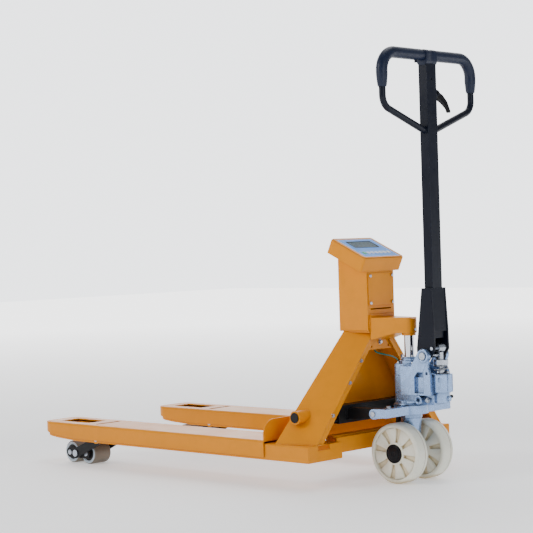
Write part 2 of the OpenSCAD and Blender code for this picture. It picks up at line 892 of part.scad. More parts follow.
module wheel() {
  rr = steer_wheel_diameter / 2;
  w = steer_wheel_width / 2;
  ar = steer_axle_diameter / 2 + rc;
  translate([0, steer_wheel_spacing / 2, axle_z]) rotate([-90, 0, 0]) difference() {
    union() {
      rotate_extrude($fn = 72)
        polygon([[ar, -w], [32, -w], [34, -w + 10], [rr - 16, -w + 10], [rr - 13, -w],
          [rr - 6, -w], [rr, -w + 7], [rr, w - 7], [rr - 6, w], [rr - 13, w],
          [rr - 16, w - 10], [34, w - 10], [32, w - 1], [ar, w - 1]]);
      for (i = [0 : 7]) {
        rotate([0, 0, i * 45 + 22.5]) translate([32, -5, -w + 1])
          cube([rr - 46, 10, 2 * w - 2]);
      }
    }
    translate([0, 0, -w - 5]) cylinder(h = 2 * w + 10, r = ar);
  }
}

module wheel_l() {
  color("ivory") base() side(-1) wheel();
}

module wheel_r() {
  color("ivory") base() side(1) wheel();
}

module cap_ring() {
  difference() {
    union() {
      ycyl(0, axle_z, wheel_out - 1, wheel_out + 3.5, 28);
      ycyl(0, axle_z, wheel_out + 3, wheel_out + 5, 25);
    }
    ycyl(0, axle_z, wheel_out - 2, wheel_out + 2, steer_axle_diameter / 2 + 3);
  }
}

module hub_cap_l() {
  color("black") base() side(-1) cap_ring();
}

module hub_cap_r() {
  color("black") base() side(1) cap_ring();
}

module handle_pin() {
  color("gray") base() {
    ycyl(hp_x, hp_z, -53, 53, handle_pin_diameter / 2);
    ycyl(hp_x, hp_z, -54, -50.5, handle_pin_diameter / 2 + 3);
    ycyl(hp_x, hp_z, 50.5, 54, handle_pin_diameter / 2 + 3);
  }
}

module bracket_side() {
  difference() {
    xz_plate(30, 36) hull() {
      translate([hp_x, hp_z]) circle(18);
      translate([57, hp_z + 12]) square([4, 10]);
      translate([hr_x, hr_z - 2]) circle(9);
      translate([80, 576]) square([34, 2]);
      translate([116, 440]) square([5, 20]);
    }
    ycyl(hp_x, hp_z, 20, 60, handle_pin_diameter / 2 + rc);
    ycyl(hr_x, hr_z, 20, 60, 5 + rc);
  }
}

module handle_bracket() {
  color("midnightblue") base() {
    side(1) bracket_side();
    side(-1) bracket_side();
    // Front and rear webs around the post.
    xz_plate(-31, 31) polygon([[57.8, 402], [62, 402], [81.8, 552], [81.8, 577], [80.4, 577],
      [80.4, 574]]);
    xz_plate(-31, 31) polygon([[112.2, 450], [119, 450], [113.5, 577], [112.2, 577]]);
    for (a = [-1, 1]) {
      box(81, 113, a > 0 ? post_width / 2 + 0.2 : -31, a > 0 ? 31 : -post_width / 2 - 0.2,
        470, 577);
    }
  }
}

module handle_roller() {
  color("silver") base() {
    ycyl(hr_x, hr_z, -39, 39, 5);
    ycyl(hr_x, hr_z, -14, 14, 12);
  }
}

module handle_post() {
  d = post_depth / 2;
  w = post_width / 2;
  color("midnightblue") base() difference() {
    union() {
      box(post_x - d, post_x + d, -w, w, 430, crossbar_height - loop_tube_diameter / 2 + 2);
      // Lugs of the control lever.
      for (x = [post_x - 11, post_x + 6]) {
        xz_lug(x, 5);
      }
    }
    box(post_x - d + 3, post_x + d - 3, -w + 3, w - 3, 425, crossbar_height - 20);
    xcyl(0, crossbar_height - 70, post_x, post_x + d + 5, 3);
    xcyl(ctl_y, ctl_z, post_x - 20, post_x + 20, 4 + rc);
    translate([0, 0, crossbar_height]) rotate([90, 0, 0])
      translate([post_x, 0, -60]) cylinder(h = 120, r = loop_tube_diameter / 2 + rc);
    for (a = [-1, 1]) {
      side(a) loop_leg(loop_tube_diameter / 2 + rc);
    }
  }
}

module xz_lug(x, t) {
  yz_plate(x, x + t) hull() {
    translate([ctl_y, ctl_z]) circle(8);
    translate([post_width / 2 - 1, ctl_z - 12]) square([1, 24]);
  }
}

ly = loop_width / 2;
lz0 = crossbar_height - 225;
la = 19.7;
lrb = 40;
lrt = 55;
lt = lrb * tan((90 - la) / 2);
lzv = lz0 + (ly - 12) * tan(la);

// Lower slanting tube of the loop.
module loop_leg(r) {
  translate([post_x, 12, lz0]) rotate([-90 + la, 0, 0])
    cylinder(h = (ly - 12) / cos(la) - lt + 0.4, r = r);
}

module elbow(cy, cz, a0, a1, rb, r) {
  translate([post_x, cy, cz]) rotate([90, 0, 90]) rotate([0, 0, a0])
    rotate_extrude(angle = a1 - a0) translate([rb, 0]) circle(r);
}

module loop_half(r) {
  loop_leg(r);
  elbow(ly - lrb, lzv + lt, -(90 - la), 0, lrb, r);
  zcyl(post_x, ly, lzv + lt - 0.4, crossbar_height - lrt + 0.4, r);
  elbow(ly - lrt, crossbar_height - lrt, 0, 90, lrt, r);
  ycyl(post_x, crossbar_height, ly - lrt - 50, ly - lrt + 0.4, r);
}

module handle_loop() {
  color("midnightblue") base() {
    side(1) loop_half(loop_tube_diameter / 2);
    side(-1) loop_half(loop_tube_diameter / 2);
    ycyl(post_x, crossbar_height, -ly + lrt + 25, ly - lrt - 25, loop_tube_diameter / 2);
    zcyl(post_x, -54, crossbar_height - loop_tube_diameter / 2 - 14, crossbar_height - 6, 4);
  }
}

module grip_outer(r) {
  zcyl(post_x, ly, crossbar_height - 95, crossbar_height - lrt, r);
  elbow(ly - lrt, crossbar_height - lrt, 0, 90, lrt, r);
  ycyl(post_x, crossbar_height, 66, ly - lrt, r);
}

module grip() {
  g = grip_diameter / 2;
  r = loop_tube_diameter / 2 + rc;
  difference() {
    union() {
      grip_outer(g);
      translate([post_x, ly, crossbar_height - 100]) cylinder(h = 6, r1 = g - 4, r2 = g);
    }
    translate([post_x, ly, crossbar_height - 105]) cylinder(h = 50, r = r);
    elbow(ly - lrt, crossbar_height - lrt, 0, 90, lrt, r);
    ycyl(post_x, crossbar_height, 60, ly - lrt, r);
    zcyl(post_x, ly, crossbar_height - 60, crossbar_height - lrt, r);
  }
}

module grip_l() {
  color("black") base() side(-1) grip();
}

module grip_r() {
  color("black") base() side(1) grip();
}

module control_lever() {
  color("black") base() {
    yz_plate(post_x - 5, post_x + 5) {
      hull() {
        translate([ctl_y, ctl_z]) circle(8);
        translate([ctl_y + 26, ctl_z - 8]) circle(6);
      }
      hull() {
        translate([ctl_y + 26, ctl_z - 8]) circle(6);
        translate([ctl_y + 48, ctl_z - 26]) circle(5);
      }
      hull() {
        translate([ctl_y + 48, ctl_z - 26]) circle(5);
        translate([ctl_y + 62, ctl_z - 51]) circle(4.5);
      }
    }
    xcyl(ctl_y, ctl_z, post_x - 13, post_x + 13, 4);
  }
}

channel_l();
channel_r();
cross_member();
bulkhead();
yoke();
ram();
platform_l();
platform_r();
load_cells();
arm_pins();
rocker_pins();
cell_cables();
column_shell();
column_cover();
head_shell();
face_panel();
display();
key_1();
key_2();
key_3();
key_4();
key_5();
key_6();
key_7();
rocker();
push_rod_l();
push_rod_r();
roller_arm_l();
roller_arm_r();
bogie_pin_l();
bogie_pin_r();
bogie_l();
bogie_r();
roller_lf();
roller_lb();
roller_rf();
roller_rb();
thrust_plate();
thrust_pins();
pump_body();
plunger();
plunger_spring();
release_lever();
steer_column();
steer_axle();
wheel_l();
wheel_r();
hub_cap_l();
hub_cap_r();
handle_pin();
handle_bracket();
handle_roller();
handle_post();
handle_loop();
grip_l();
grip_r();
control_lever();
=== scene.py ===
import math
import bmesh
import bpy
from mathutils import Matrix, Vector


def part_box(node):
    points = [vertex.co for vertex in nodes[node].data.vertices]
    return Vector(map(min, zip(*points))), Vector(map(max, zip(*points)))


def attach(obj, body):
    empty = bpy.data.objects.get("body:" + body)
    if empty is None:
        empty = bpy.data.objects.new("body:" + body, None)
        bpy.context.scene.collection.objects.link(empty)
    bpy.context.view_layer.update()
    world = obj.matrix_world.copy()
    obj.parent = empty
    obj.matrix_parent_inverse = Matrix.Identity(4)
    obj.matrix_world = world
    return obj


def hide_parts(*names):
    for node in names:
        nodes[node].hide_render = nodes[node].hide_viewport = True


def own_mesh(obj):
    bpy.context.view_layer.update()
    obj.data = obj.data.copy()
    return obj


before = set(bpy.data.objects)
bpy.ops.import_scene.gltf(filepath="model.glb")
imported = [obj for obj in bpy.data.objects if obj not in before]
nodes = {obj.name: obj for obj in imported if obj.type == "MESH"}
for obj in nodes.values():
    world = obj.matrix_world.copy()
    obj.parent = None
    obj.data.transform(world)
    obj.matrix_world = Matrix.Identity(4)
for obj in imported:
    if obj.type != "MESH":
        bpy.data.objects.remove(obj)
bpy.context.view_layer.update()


def mid(node):
    lo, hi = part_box(node)
    return (Vector(lo) + Vector(hi)) / 2


def mm(v):
    return v / 1000.0


# Every X below is counted from the steering axis.
X0 = mid("ram").x
SIDES = ((-1, "l"), (1, "r"))

# Sizes of the truck in millimetres, as its CAD has them.
FORK_Y = 262.5
PLATFORM_TOP_Z = 140.0
CHANNEL_TOP_Z = 130.0
WING_TOP_Z = 450.0
PLATE_TOP_Z = 229.0
WHEEL_RADIUS = 90
WHEEL_HALF = 25
WHEEL_LINE_OFFSET = 10
ROLLER_RADIUS = 37
ROLLER_HALF = 35
BOGIE_FACE_Y = 46.3
HANDLE_X = 97.0
CROSSBAR_Z = 1262.0
LOOP_Y = 211.0
LOOP_BEND = 55.0
GRIP_RADIUS = 17.0
CELL_X = (-983.0, -410.0)
CELL_SCREW_STEP = 28.0
CABLE_RADIUS = 2.6
HEAD_CENTRE = (-160, 0, 681)
HEAD_TILT = 25.0
HEAD_FACE = 23.0
KEY_PITCH = 19.0
PLUNGER_X = 117
PLUNGER_CUP_RADIUS = 33
PUMP_PIN = (88, 0, 379)
VALVE = (64, 0, 249)
ROCKER_FACE_X = -134.6


def P(x, y, z):
    """A point given in millimetres from the steering axis."""
    return Vector((X0 + mm(x), mm(y), mm(z)))


# ---------------------------------------------------------------- camera
def add_camera():
    f_px, width_px = 1595.8, 533.0
    yaw, pitch, roll = 0.7589, -0.0164, -0.0307
    fwd = Vector((-math.sin(yaw), math.cos(yaw), 0))
    right = Vector((math.cos(yaw), math.sin(yaw), 0))
    up = Vector((0, 0, 1))
    c, s = math.cos(pitch), math.sin(pitch)
    fwd, up = fwd * c + up * s, up * c - fwd * s
    c, s = math.cos(roll), math.sin(roll)
    right, up = right * c + up * s, up * c - right * s
    data = bpy.data.cameras.new("camera")
    data.sensor_width = 36.0
    data.lens = 36.0 * f_px / width_px
    data.clip_end = 100
    cam = bpy.data.objects.new("camera", data)
    bpy.context.scene.collection.objects.link(cam)
    m = Matrix((right, up, -fwd)).transposed().to_4x4()
    m.translation = P(2979.1, -3751.4, 732.8)
    cam.matrix_world = m
    bpy.context.scene.camera = cam


add_camera()


# ---------------------------------------------------------------- materials
def new_mat(name):
    m = bpy.data.materials.new(name)
    m.use_nodes = True
    return m, m.node_tree, m.node_tree.nodes["Principled BSDF"]


def add(nt, kind, **values):
    n = nt.nodes.new(kind)
    for k, v in values.items():
        if k in n.inputs.keys():
            n.inputs[k].default_value = v
        else:
            setattr(n, k, v)
    return n


def coords(nt, scale=None):
    tc = add(nt, "ShaderNodeTexCoord")
    if scale is None:
        return tc.outputs["Object"]
    mp = add(nt, "ShaderNodeMapping")
    mp.inputs["Scale"].default_value = scale
    nt.links.new(tc.outputs["Object"], mp.inputs["Vector"])
    return mp.outputs["Vector"]


def noise(nt, vec, scale, detail=3.0, rough=0.5):
    n = add(nt, "ShaderNodeTexNoise", Scale=scale, Detail=detail, Roughness=rough)
    nt.links.new(vec, n.inputs["Vector"])
    return n.outputs["Fac"]


def remap(nt, value, a, b, c, d):
    n = add(nt, "ShaderNodeMapRange")
    n.inputs["From Min"].default_value = a
    n.inputs["From Max"].default_value = b
    n.inputs["To Min"].default_value = c
    n.inputs["To Max"].default_value = d
    nt.links.new(value, n.inputs["Value"])
    return n.outputs["Result"]


def mix(nt, fac, a, b):
    """Blends two colours, each a tuple or a socket."""
    n = add(nt, "ShaderNodeMix", data_type="RGBA", blend_type="MIX")
    if isinstance(fac, float):
        n.inputs[0].default_value = fac
    else:
        nt.links.new(fac, n.inputs[0])
    for sock, v in ((n.inputs[6], a), (n.inputs[7], b)):
        if isinstance(v, tuple):
            sock.default_value = (*v[:3], 1.0)
        else:
            nt.links.new(v, sock)
    return n.outputs[2]


def shade(c, k):
    """The colour c made k times as bright."""
    return tuple(min(1.0, v * k) for v in c)


def surface(name, col, rough=0.4, metal=0.0, coat=0.0, coat_rough=0.1, spread=0.08,
            patch=9.0, specks=0.35, grain=700.0, grain_depth=0.00002, rough_var=0.06,
            edge=0.0012, edge_wear_and_highlight=None, edge_wear_and_highlight_amount=0.0, painted_hollow_shade=0.35, painted_hollow_shade_col=None,
            stretch=None, second=None, second_depth=0.0, subsurface=0.0, spec=0.5):
    """One painted, cast or moulded surface with colour drift, grain, softened edges, painted shade in
    its hollows and, where asked, a painted edge highlight mixed with chipped edge wear.
    """
    m, nt, b = new_mat(name)
    vec = coords(nt, stretch)
    flat = coords(nt)
    drift = noise(nt, flat, patch, 4.0, 0.55)
    base = mix(nt, remap(nt, drift, 0.3, 0.7, 0.0, 1.0), shade(col, 1 - spread),
               shade(col, 1 + spread))
    speck = noise(nt, flat, patch * 11, 3.0, 0.6)
    base = mix(nt, remap(nt, speck, 0.45, 0.8, 0.0, specks), base, shade(col, 0.8))
    # Painted shade: where ambient occlusion finds nearby surfaces, in hollows, creases and between
    # parts, the base colour is darkened towards the hollow colour.
    if painted_hollow_shade > 0:
        ao = add(nt, "ShaderNodeAmbientOcclusion", Distance=0.02, samples=4)
        fac = remap(nt, ao.outputs["AO"], 0.35, 0.95, painted_hollow_shade, 0.0)
        base = mix(nt, fac, base, painted_hollow_shade_col or shade(col, 0.35))
    bev = add(nt, "ShaderNodeBevel", samples=4, Radius=edge)
    # Painted edge highlight, partly chipped edge wear: edges found by the bevel normal are lightened in
    # noise patches.
    if edge_wear_and_highlight_amount > 0:
        geo = add(nt, "ShaderNodeNewGeometry")
        dot = add(nt, "ShaderNodeVectorMath", operation="DOT_PRODUCT")
        nt.links.new(bev.outputs["Normal"], dot.inputs[0])
        nt.links.new(geo.outputs["Normal"], dot.inputs[1])
        edge_highlight_wear_mask = remap(nt, dot.outputs["Value"], 0.995, 0.86, 0.0, 1.0)
        chip = remap(nt, noise(nt, flat, 130.0, 5.0, 0.7), 0.48, 0.62, 0.0, edge_wear_and_highlight_amount)
        mul = add(nt, "ShaderNodeMath", operation="MULTIPLY")
        nt.links.new(edge_highlight_wear_mask, mul.inputs[0])
        nt.links.new(chip, mul.inputs[1])
        base = mix(nt, mul.outputs[0], base, edge_wear_and_highlight or shade(col, 1.4))
    nt.links.new(base, b.inputs["Base Color"])
    b.inputs["Metallic"].default_value = metal
    b.inputs["IOR"].default_value = 1.5
    b.inputs["Coat Weight"].default_value = coat
    b.inputs["Coat Roughness"].default_value = coat_rough
    b.inputs["Specular IOR Level"].default_value = spec
    if subsurface:
        b.inputs["Subsurface Weight"].default_value = subsurface
        b.inputs["Subsurface Radius"].default_value = (0.004, 0.003, 0.002)
    r = noise(nt, flat, patch * 4, 4.0, 0.6)
    nt.links.new(remap(nt, r, 0.3, 0.7, rough - rough_var, rough + rough_var),
                 b.inputs["Roughness"])
    bump = add(nt, "ShaderNodeBump", Strength=1.0, Distance=grain_depth)
    nt.links.new(noise(nt, vec, grain, 2.0, 0.5), bump.inputs["Height"])
    nt.links.new(bev.outputs["Normal"], bump.inputs["Normal"])
    last = bump
    if second:
        b2 = add(nt, "ShaderNodeBump", Strength=1.0, Distance=second_depth)
        nt.links.new(noise(nt, vec, second, 3.0, 0.6), b2.inputs["Height"])
        nt.links.new(bump.outputs["Normal"], b2.inputs["Normal"])
        last = b2
    nt.links.new(last.outputs["Normal"], b.inputs["Normal"])
    nt.links.new(bump.outputs["Normal"], b.inputs["Coat Normal"])
    return m


ORANGE = (0.72, 0.25, 0.0)
M = {}
# The frame's hollows take a dark orange painted shade, and its edges a pale orange painted highlight
# with chipped wear.
M["paint"] = surface("frame_powder_coat", ORANGE, rough=0.36, coat=0.10, coat_rough=0.12,
                     spec=0.14, spread=0.04, patch=2.4, grain=420.0, grain_depth=0.000018,
                     painted_hollow_shade=0.45, painted_hollow_shade_col=(0.30, 0.075, 0.0), edge=0.0016,
                     edge_wear_and_highlight=(1.0, 0.62, 0.25), edge_wear_and_highlight_amount=0.35)
# The casting's near-black hollow colour is painted shade that deepens its recesses for contrast.
M["cast"] = surface("silver_casting", (0.28, 0.41, 0.66), rough=0.26, metal=0.80,
                    spread=0.05, patch=14.0, specks=0.08, grain=900.0, grain_depth=0.00004,
                    second=140.0, second_depth=0.00012, painted_hollow_shade=0.6,
                    painted_hollow_shade_col=(0.012, 0.015, 0.025), edge=0.0024, coat=0.12, coat_rough=0.22)
M["steel"] = surface("zinc_steel", (0.46, 0.50, 0.57), rough=0.28, metal=1.0, spread=0.06,
                     patch=60.0, grain=1500.0, grain_depth=0.00003, painted_hollow_shade=0.4,
                     painted_hollow_shade_col=(0.12, 0.12, 0.13), edge=0.0008)
M["chrome"] = surface("ram_chrome", (0.50, 0.51, 0.55), rough=0.1, metal=1.0, spread=0.02,
                      patch=30.0, grain=2500.0, grain_depth=0.000004, rough_var=0.03,
                      painted_hollow_shade=0.0, edge=0.0005, stretch=(1, 1, 0.05))
M["black"] = surface("black_steel_paint", (0.008, 0.008, 0.009), rough=0.42, coat=0.1,
                     coat_rough=0.25, spec=0.15, spread=0.15, patch=18.0, grain=800.0,
                     grain_depth=0.00008, second=120.0, second_depth=0.0002, painted_hollow_shade=0.2,
                     painted_hollow_shade_col=(0.004, 0.004, 0.004), edge=0.0015,
                     edge_wear_and_highlight=(0.16, 0.16, 0.17), edge_wear_and_highlight_amount=0.5)
M["handle"] = surface("handle_powder_coat", (0.0025, 0.0045, 0.012), rough=0.32, coat=0.04,
                      coat_rough=0.2, spec=0.16, spread=0.1, patch=6.0, grain=650.0,
                      grain_depth=0.00005, painted_hollow_shade=0.2, painted_hollow_shade_col=(0.002, 0.004, 0.01),
                      edge=0.0016, edge_wear_and_highlight=(0.10, 0.14, 0.22), edge_wear_and_highlight_amount=0.3)
M["grip"] = surface("grip_plastic", (0.004, 0.009, 0.028), rough=0.38, spec=0.25, spread=0.1,
                    patch=20.0, grain=1100.0, grain_depth=0.00022, second=260.0,
                    second_depth=0.00015, painted_hollow_shade=0.15, edge=0.0015)
M["plastic"] = surface("black_plastic", (0.003, 0.003, 0.005), rough=0.34, spec=0.15, spread=0.1,
                       patch=30.0, grain=1400.0, grain_depth=0.00006, painted_hollow_shade=0.2,
                       edge=0.0012)
# The tan hollow colour on the nylon is painted shade between the ribs and pads.
M["nylon"] = surface("wheel_nylon", (0.83, 0.82, 0.70), rough=0.34, spread=0.05,
                     patch=16.0, grain=600.0, grain_depth=0.00004, painted_hollow_shade=0.85,
                     painted_hollow_shade_col=(0.42, 0.30, 0.12), edge=0.002, subsurface=0.10,
                     coat=0.15, coat_rough=0.2, second=70.0, second_depth=0.0002)
# Darker tan web colour: painted shade in the recesses between the wheel pads.
M["web_painted_shade"] = surface("wheel_web_painted_shade", (0.80, 0.72, 0.52), rough=0.4, spread=0.10,
                     patch=22.0, grain=600.0, grain_depth=0.00004, painted_hollow_shade=0.6,
                     painted_hollow_shade_col=(0.46, 0.33, 0.15), edge=0.0015, second=70.0,
                     second_depth=0.0002)
M["line"] = surface("wheel_mould_line", (0.20, 0.12, 0.08), rough=0.5, spread=0.2,
                    patch=60.0, grain=900.0, grain_depth=0.00004, painted_hollow_shade=0.0, edge=0.0003)
# Dark taupe tread colour: painted shade, as the cream nylon rollers sit in shadow.
M["tread"] = surface("roller_tread", (0.200, 0.172, 0.135), rough=0.48, spread=0.08,
                     patch=24.0, grain=900.0, grain_depth=0.00012, painted_hollow_shade=0.3,
                     edge=0.001, stretch=(1, 0.08, 1), second=90.0, second_depth=0.0001)
M["core"] = surface("roller_core", (0.50, 0.58, 0.66), rough=0.35, spread=0.06, patch=40.0,
                    grain=900.0, grain_depth=0.00004, painted_hollow_shade=0.3, edge=0.0008)
M["rubber"] = surface("seal_rubber", (0.008, 0.008, 0.009), rough=0.6, spread=0.1,
                      patch=60.0, grain=1600.0, grain_depth=0.00006, painted_hollow_shade=0.0,
                      edge=0.0005)
M["cable"] = surface("cable_jacket", (0.012, 0.16, 0.12), rough=0.38, spread=0.08,
                     patch=30.0, grain=1200.0, grain_depth=0.00004, painted_hollow_shade=0.2,
                     edge=0.0003)
M["film"] = surface("panel_film", (0.13, 0.37, 0.92), rough=0.45, spread=0.03, patch=12.0,
                    grain=1800.0, grain_depth=0.00001, painted_hollow_shade=0.1, edge=0.0004, spec=0.1)
M["film_line"] = surface("panel_print_white", (0.78, 0.84, 0.93), rough=0.3, spread=0.02,
                         patch=20.0, grain=1800.0, grain_depth=0.00001, painted_hollow_shade=0.0,
                         edge=0.0002)
M["lcd"] = surface("display_glass", (0.020, 0.080, 0.115), rough=0.30, spread=0.04,
                   patch=14.0, grain=1500.0, grain_depth=0.000004, rough_var=0.02,
                   painted_hollow_shade=0.0, edge=0.0006, spec=0.1)
M["lcd_seg"] = surface("display_segments", (0.012, 0.028, 0.032), rough=0.3, spread=0.04,
                       patch=20.0, grain=1500.0, grain_depth=0.000004, painted_hollow_shade=0.0,
                       edge=0.0002, spec=0.2)
M["key_green"] = surface("key_green", (0.05, 0.52, 0.16), rough=0.35, spread=0.05,
                         patch=40.0, grain=1500.0, grain_depth=0.00003, painted_hollow_shade=0.25,
                         edge=0.0012)
M["key_white"] = surface("key_white", (0.80, 0.82, 0.86), rough=0.35, spread=0.03,
                         patch=40.0, grain=1500.0, grain_depth=0.00003, painted_hollow_shade=0.25,
                         painted_hollow_shade_col=(0.3, 0.35, 0.45), edge=0.0012)
M["spring"] = surface("spring_steel", (0.34, 0.36, 0.40), rough=0.28, metal=1.0,
                      spread=0.06, patch=80.0, grain=1500.0, grain_depth=0.00002,
                      painted_hollow_shade=0.5, painted_hollow_shade_col=(0.06, 0.06, 0.07), edge=0.0003)

node_mats = {
    "paint": ["channel_l", "channel_r", "cross_member", "bulkhead", "yoke", "platform_l",
              "platform_r", "column_shell", "column_cover", "head_shell"],
    "chrome": ["ram"],
    "steel": ["load_cells", "arm_pins", "bogie_pin_l", "bogie_pin_r", "thrust_pins",
              "plunger", "steer_axle", "handle_pin", "handle_roller"],
    "black": ["rocker_pins", "rocker", "push_rod_l", "push_rod_r", "roller_arm_l",
              "roller_arm_r", "bogie_l", "bogie_r", "release_lever"],
    "cast": ["thrust_plate", "pump_body", "steer_column"],
    "handle": ["handle_bracket", "handle_post", "handle_loop"],
    "grip": ["grip_l", "grip_r"],
    "plastic": ["hub_cap_l", "hub_cap_r", "control_lever"],
    "nylon": ["wheel_l", "wheel_r"],
    "tread": ["roller_lf", "roller_lb", "roller_rf", "roller_rb"],
    "cable": ["cell_cables"],
    "film": ["face_panel"],
    "lcd": ["display"],
    "key_green": ["key_1"],
    "key_white": ["key_%d" % i for i in range(2, 8)],
    "spring": ["plunger_spring"],
}
for key, names in node_mats.items():
    for n in names:
        me = nodes[n].data
        me.materials.clear()
        me.materials.append(M[key])


# ---------------------------------------------------------------- mesh helpers
def piece(name, bm, mat, body, smooth=35.0):
    """Makes an object of the mesh, with its material, and puts it on a moving body."""
    me = bpy.data.meshes.new(name)
    bmesh.ops.remove_doubles(bm, verts=bm.verts, dist=1e-6)
    bmesh.ops.recalc_face_normals(bm, faces=bm.faces)
    bm.to_mesh(me)
    bm.free()
    for p in me.polygons:
        p.use_smooth = True
    me.set_sharp_from_angle(angle=math.radians(smooth))
    me.materials.append(M[mat])
    o = bpy.data.objects.new(name, me)
    bpy.context.scene.collection.objects.link(o)
    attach(o, body)
    return o


def basis(axis):
    a = Vector(axis).normalized()
    t = Vector((0, 0, 1)) if abs(a.z) < 0.9 else Vector((1, 0, 0))
    u = t.cross(a).normalized()
    return u, a.cross(u), a


def skin(bm, rows, around=False):
    """Joins neighbouring rings of vertices by quads, and closes the ends of an open run."""
    count = len(rows)
    for k in range(count if around else count - 1):
        p, q = rows[k], rows[(k + 1) % count]
        n = len(p)
        for i in range(n):
            j = (i + 1) % n
            bm.faces.new((p[i], p[j], q[j], q[i]))
    if not around:
        bm.faces.new(list(reversed(rows[0])))
        bm.faces.new(rows[-1])


def lathe(bm, profile, centre, axis, segs=64, closed=True):
    """Spins a profile of (radius, height) pairs about an axis."""
    u, v, a = basis(axis)
    rings = []
    for r, h in profile:
        ring = []
        for i in range(segs):
            t = 2 * math.pi * i / segs
            ring.append(bm.verts.new(centre + (u * math.cos(t) + v * math.sin(t)) * r + a * h))
        rings.append(ring)
    skin(bm, rings, around=closed)


def arc(cx, cy, r, a0, a1, n=5):
    """Points of a circle's arc from a0 to a1 degrees."""
    out = []
    for i in range(n + 1):
        t = math.radians(a0 + (a1 - a0) * i / n)
        out.append((cx + r * math.cos(t), cy + r * math.sin(t)))
    return out


def tube(bm, pts, r, segs=14, radii=None):
    """A round bar of radius r, or of one radius a point, along the points."""
    rings = []
    n = len(pts)
    up = None
    for i, p in enumerate(pts):
        d = (pts[min(i + 1, n - 1)] - pts[max(i - 1, 0)]).normalized()
        if up is None:
            up = basis(d)[0]
        up = (up - d * up.dot(d)).normalized()
        side = d.cross(up)
        rr = radii[i] if radii else r
        rings.append([bm.verts.new(p + (up * math.cos(2 * math.pi * k / segs)
                                        + side * math.sin(2 * math.pi * k / segs)) * rr)
                      for k in range(segs)])
    skin(bm, rings)


def smooth_path(pts, per=8):
    """A Catmull-Rom curve through the points."""
    out = []
    n = len(pts)
    for i in range(n - 1):
        p0 = pts[max(i - 1, 0)]
        p1, p2 = pts[i], pts[i + 1]
        p3 = pts[min(i + 2, n - 1)]
        for k in range(per):
            t = k / per
            out.append(0.5 * ((2 * p1) + (p2 - p0) * t + (2 * p0 - 5 * p1 + 4 * p2 - p3) * t * t
                              + (3 * p1 - p0 - 3 * p2 + p3) * t ** 3))
    out.append(pts[-1].copy())
    return out


def socket_screw(name, at, axis, r, h, body, mat="steel", washer=True):
    """A cap screw with a hexagon socket and, if asked, a washer under it."""
    bm = bmesh.new()
    c = mm(0.35)
    hexr = r * 0.5
    prof = [(r, 0)] + arc(r - c, h - c, c, 0, 90, 3) + [(hexr + mm(0.3), h)]
    lathe(bm, [(hexr + mm(0.3), h * 0.45)] + prof, at, axis, 36, closed=False)
    if washer:
        lathe(bm, [(r * 0.5, -mm(0.1)), (r * 1.5, -mm(0.1)), (r * 1.5, mm(0.9)),
                   (r * 0.5, mm(0.9))], at, axis, 36)
    return piece(name, bm, mat, body)


def hex_bolt(name, at, axis, af, h, body, mat="steel", turn=0.3):
    """A hexagon head with a chamfered crown on a washer."""
    bm = bmesh.new()
    u, v, a = basis(axis)
    rad = af / math.sqrt(3)
    rows = []
    for k, z in ((1.0, 0.0), (1.0, h * 0.8), (0.86, h)):
        rows.append([bm.verts.new(at + (u * math.cos(turn + i * math.pi / 3)
                                        + v * math.sin(turn + i * math.pi / 3)) * rad * k
                                  + a * (z + mm(1.2))) for i in range(6)])
    skin(bm, rows)
    lathe(bm, [(rad * 0.4, 0), (rad * 1.25, 0), (rad * 1.25, mm(1.2)), (rad * 0.4, mm(1.2))],
          at, axis, 32)
    return piece(name, bm, mat, body)


